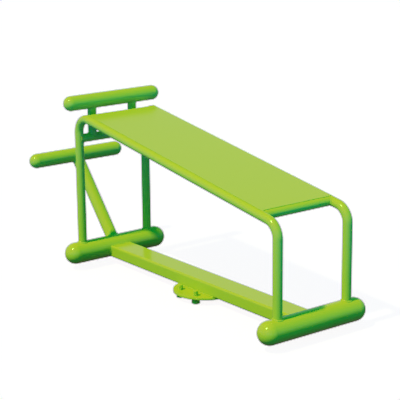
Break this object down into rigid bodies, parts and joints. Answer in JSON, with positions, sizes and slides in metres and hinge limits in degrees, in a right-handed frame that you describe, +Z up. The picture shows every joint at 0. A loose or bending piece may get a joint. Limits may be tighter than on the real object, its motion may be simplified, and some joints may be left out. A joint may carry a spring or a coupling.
{
  "type": "sit-up bench",
  "caption": "Outdoor-gym sit-up bench: sloping board on bent tube frames, round-ended base tubes, ground beam, knee roller on posts, foot roller on a leaning strut.",
  "frame": {"origin": "centre of the underside of the ground flange, at ground level, where the base tubes also touch the ground", "axes": "+X along the bench towards the low end of the board, +Y across it, away from the side named left, +Z up"},
  "size_m": [1.9252, 0.5868, 0.8764],
  "materials": {
    "green_paint": "gloss",
    "board_paint": "gloss",
    "bolt_paint": "satin"
  },
  "bodies": {
    "root": {"base_cap_high_end_left": "green_paint", "base_cap_low_end_left": "green_paint", "knee_roller_cap_left": "green_paint", "foot_roller_cap_left": "green_paint", "side_frame_left": "green_paint", "roller_post_left": "green_paint", "base_cap_high_end_right": "green_paint", "base_cap_low_end_right": "green_paint", "knee_roller_cap_right": "green_paint", "foot_roller_cap_right": "green_paint", "side_frame_right": "green_paint", "roller_post_right": "green_paint", "base_tube_high_end": "green_paint", "base_tube_low_end": "green_paint", "ground_beam": "green_paint", "ground_flange": "green_paint", "cross_tube_high_end": "green_paint", "cross_tube_low_end": "green_paint", "roller_crossbar": "green_paint", "knee_roller_tube": "green_paint", "foot_roller_tube": "green_paint", "foot_roller_strut": "green_paint", "board_sheet": "board_paint", "anchor_bolt_1": "bolt_paint", "anchor_bolt_2": "bolt_paint", "anchor_bolt_3": "bolt_paint", "anchor_bolt_4": "bolt_paint", "anchor_nut_1": "bolt_paint", "anchor_nut_2": "bolt_paint", "anchor_nut_3": "bolt_paint", "anchor_nut_4": "bolt_paint"}
  },
  "joints": []
}
